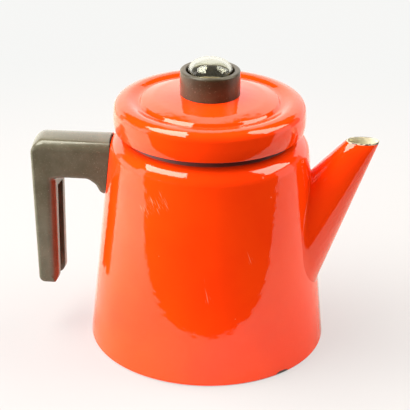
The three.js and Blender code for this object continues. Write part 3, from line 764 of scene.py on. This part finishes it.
# A pressed steel washer and a hexagon nut hold the neck of the knob under the lid. The nut's
# lower corners are chamfered.
def turned_metal(name, colour, rough):
    """Bare metal with the fine rings that a lathe or a polishing wheel leaves round the axis."""
    made, wire = new_finish(name)
    place = wire.node("TexCoord", output="Object")
    x, y, z = (wire.node("SeparateXYZ", {}, {"Vector": place}, axis) for axis in "XYZ")
    radius = (x * x + y * y).maths("SQRT")
    rings = wire.node("CombineXYZ", {}, {"X": radius, "Y": z})
    lines = wire.node("TexNoise", {}, {"Vector": rings, "Scale": 1500, "Detail": 2})
    cloud = wire.node("TexNoise", {}, {"Vector": place, "Scale": 45, "Detail": 4})
    dull = cloud.ramp(0.4, 0.7)
    tone = dull.mix((*colour, 1), (*(0.82 * channel for channel in colour), 1))
    bump = wire.node("Bump", {}, {"Strength": 0.35, "Distance": 0.00003, "Height": lines})
    wire.node("OutputMaterial", {}, {"Surface": wire.node("BsdfPrincipled", {}, {
        "Base Color": tone, "Metallic": 1.0, "Roughness": rough + 0.14 * dull + 0.08 * lines,
        "Normal": bump,
    })})
    return made


steel = turned_metal("plain_steel", (0.5, 0.49, 0.47), 0.3)
aluminium = turned_metal("spun_aluminium", (0.72, 0.72, 0.73), 0.24)
shape = bmesh.new()
spin_line(shape, [
    (13, 173.2), (18.6, 173.2, 0.15), (18.6, 174, 0.3), (13, 174, 0.15), (13, 173.2),
], steps=96)
finish_piece(shape, "knob_plate_washer", [steel], "lid", "knob_washer")

nut_corner, nut_bore = 19.63, 13
shape = bmesh.new()
bmesh.ops.create_cone(
    shape, cap_ends=True, segments=6, radius1=nut_corner, radius2=nut_corner, depth=4,
    matrix=Matrix.Translation((0, 0, 170.9)),
)
bmesh.ops.bevel(
    shape, geom=shape.edges[:], offset=0.3, offset_type="OFFSET", segments=2, profile=0.5,
    affect="EDGES", material=-1,
)
knob_nut = finish_piece(shape, "knob_hexagon_nut", [steel], "lid", "knob_nut")
punches = bmesh.new()
bmesh.ops.create_cone(
    punches, cap_ends=True, segments=64, radius1=nut_bore, radius2=nut_bore, depth=20,
    matrix=Matrix.Translation((0, 0, 171)),
)
cut(knob_nut, punches)
cut(knob_nut, spun_punch([
    (30, 160), (30, 172), (20.4, 170.5), (16.2, 168), (16.2, 160), (30, 160),
], steps=64))

# The pump's stem is a thin drawn aluminium tube, crimped above its valve. The hot water
# climbs through it.
shape = bmesh.new()
spin_line(shape, [
    (4.2, 16), (5, 16, 0.2), (5, 21.5, 1), (3.6, 23.3, 0.6), (3.6, 24.5, 0.6), (5, 26.3, 1),
    (5, 160, 0.3), (4.2, 160, 0.3), (4.2, 26.5, 1), (2.8, 24.6, 0.6), (2.8, 23.2, 0.6),
    (4.2, 21.3, 1), (4.2, 16),
], steps=64)
finish_piece(shape, "pump_stem", [aluminium], "pump", "pump_tube")

# The pump's foot is a spun aluminium bell that stands on the bottom of the pot. Three notches
# let the water in.
shape = bmesh.new()
spin_line(shape, [
    (30, 1.5, 0.4), (29.1, 4.5, 2), (25.5, 9, 3), (19.5, 12.6, 3), (12, 14.8, 2),
    (6.4, 15.6, 1), (6.3, 23.5, 0.4), (5.3, 23.5, 0.3), (5.3, 14.6, 1), (12, 13.8, 2),
    (19, 11.7, 3), (24.7, 8.3, 3), (28.2, 4.1, 2), (29, 1.5, 0.4), (29.5, 1.5), (30, 1.5),
], steps=128)
pump_bell = finish_piece(shape, "pump_bell", [aluminium], "pump", "pump_foot")
notch_radius = 4
punches = bmesh.new()
for turn in (60, 180, 300):
    bmesh.ops.create_cone(
        punches, cap_ends=True, segments=32, radius1=notch_radius, radius2=notch_radius, depth=14,
        matrix=Matrix.Rotation(math.radians(turn), 4, "Z") @ Matrix.Translation((29, 0, 0.6))
        @ Matrix.Rotation(math.radians(90), 4, "Y"),
    )
cut(pump_bell, punches)

# The valve is a turned aluminium seat, pressed into the foot of the stem, and a loose steel
# disc that hops on it as the water boils.
shape = bmesh.new()
spin_line(shape, [
    (2.2, 16), (3.9, 16, 0.3), (3.9, 18.5), (2.9, 18.5), (2.2, 17.8), (2.2, 16),
], steps=48)
finish_piece(shape, "valve_ring", [aluminium], "pump", "valve_seat")
shape = bmesh.new()
spin_line(shape, [(0, 18.8), (3.4, 18.8, 0.2), (3.4, 19.6, 0.2), (0, 19.6)], steps=48)
finish_piece(shape, "valve_flap", [steel], "valve", "valve_disc")

# A turned aluminium collar, fast on the stem, carries the basket. Its lower edge is
# chamfered.
shape = bmesh.new()
spin_line(shape, [
    (5.3, 84.1), (7.2, 84.1, 0.5), (8, 85.2, 0.5), (8, 87.1, 0.4), (5.3, 87.1), (5.3, 84.1),
], steps=64)
finish_piece(shape, "stem_collar", [aluminium], "pump", "basket_stop")


# The basket is a drawn aluminium cup with a rolled rim and a floor full of drip holes. It
# holds the ground coffee.
def rings_of_holes(rings, pitch, radius, height):
    """Upright punches on rings about the axis, evenly spaced along each ring."""
    punches = bmesh.new()
    for ring in rings:
        count = round(2 * math.pi * ring / pitch)
        for hole in range(count):
            bmesh.ops.create_cone(
                punches, cap_ends=True, segments=14, radius1=radius, radius2=radius, depth=6,
                matrix=Matrix.Rotation(2 * math.pi * hole / count, 4, "Z")
                @ Matrix.Translation((ring, 0, height)),
            )
    return punches


rim = rolled_edge(42.76, 137.4, 1.2, range(-70, 251, 20))
shape = bmesh.new()
spin_line(shape, [
    (6.8, 88.6), (43.16, 88.6, 6), *rim, (42.36, 89.4, 5.2), (6.8, 89.4), (6.8, 88.6),
], steps=144)
basket_cup = finish_piece(shape, "basket_cup", [aluminium], "basket", "basket_shell")
cut(basket_cup, rings_of_holes((12, 16.5, 21, 25.5, 30, 34.5), 6.5, 1.1, 89))

# A thin aluminium sleeve runs up through the basket, so that it slides on the stem. Its
# flange is pressed against the basket's floor from below.
shape = bmesh.new()
spin_line(shape, [
    (5.6, 87.4), (10, 87.4, 0.2), (10, 88.3, 0.3), (6.5, 88.3, 0.2), (6.5, 129.4, 0.3),
    (5.6, 129.4, 0.3), (5.6, 87.4),
], steps=64)
finish_piece(shape, "basket_guide", [aluminium], "basket", "basket_sleeve")

# The spreader is a dished aluminium plate that lies on the basket's rim and showers the water
# over the coffee.
shape = bmesh.new()
spin_line(shape, [
    (6.8, 141.9), (9.8, 141.9, 0.8), (12.8, 138.9, 0.8), (45.16, 138.9, 1.4),
    (45.16, 141.3, 0.3), (44.36, 141.3, 0.3), (44.36, 139.7, 0.6), (12.8, 139.7, 0.8),
    (9.8, 142.7, 0.8), (6.8, 142.7), (6.8, 141.9),
], steps=144)
spreader_dish = finish_piece(
    shape, "spreader_dish", [aluminium], "spreader", "spreader_plate",
)
cut(spreader_dish, rings_of_holes((17, 22, 27, 32, 37), 7, 0.9, 139.3))

# An aluminium ferrule in the middle of the spreader slides on the stem. It is flared over the
# edge of the plate.
shape = bmesh.new()
spin_line(shape, [
    (5.6, 134.9), (6.5, 134.9, 0.2), (6.5, 143, 0.2), (8.3, 143, 0.2), (8.3, 143.9, 0.3),
    (5.6, 143.9, 0.3), (5.6, 134.9),
], steps=64)
finish_piece(shape, "spreader_ferrule", [aluminium], "spreader", "spreader_collar")

# A slotted steel screw and its washer draw the grip onto the lug, from under the arm. They
# sit in a round pocket in the grip.
screw_reach = taper(133) + 13
shape = bmesh.new()
spin_line(shape, [
    (0, 115.4), (3.5, 115.4, 0.5), (3.5, 117.7, 0.2), (2, 117.7, 0.2), (2, 130, 0.3), (0, 130),
], steps=48)
bmesh.ops.translate(shape, vec=(-screw_reach, 0, 0), verts=shape.verts)
grip_screw = finish_piece(shape, "grip_screw", [steel], "pot", "handle_screw")
punches = bmesh.new()
bmesh.ops.create_cube(punches, size=1, matrix=Matrix.LocRotScale(
    Vector((-screw_reach, 0, 115.4)), Matrix.Rotation(0.5, 3, "Z"), Vector((9, 0.9, 1.8))))
cut(grip_screw, punches)

shape = bmesh.new()
spin_line(shape, [
    (2.3, 118), (4.2, 118, 0.2), (4.2, 118.7, 0.2), (2.3, 118.7), (2.3, 118),
], steps=48)
bmesh.ops.translate(shape, vec=(-screw_reach, 0, 0), verts=shape.verts)
finish_piece(shape, "grip_washer", [steel], "pot", "handle_washer")
pocket_radius = 4.5
punches = bmesh.new()
bmesh.ops.create_cone(
    punches, cap_ends=True, segments=48, radius1=pocket_radius, radius2=pocket_radius, depth=10,
    matrix=Matrix.Translation((-screw_reach, 0, 114)),
)
cut(grip, punches)

# The lug is a steel block, welded to the wall inside the arm. It doesn't show on the whole
# object, so its plain solid is only given its metal.
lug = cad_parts["handle_lug"]
lug.data.materials.clear()
lug.data.materials.append(steel)

cad_box, object_box = [[list(corner) for corner in box] for box in (cad_box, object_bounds())]
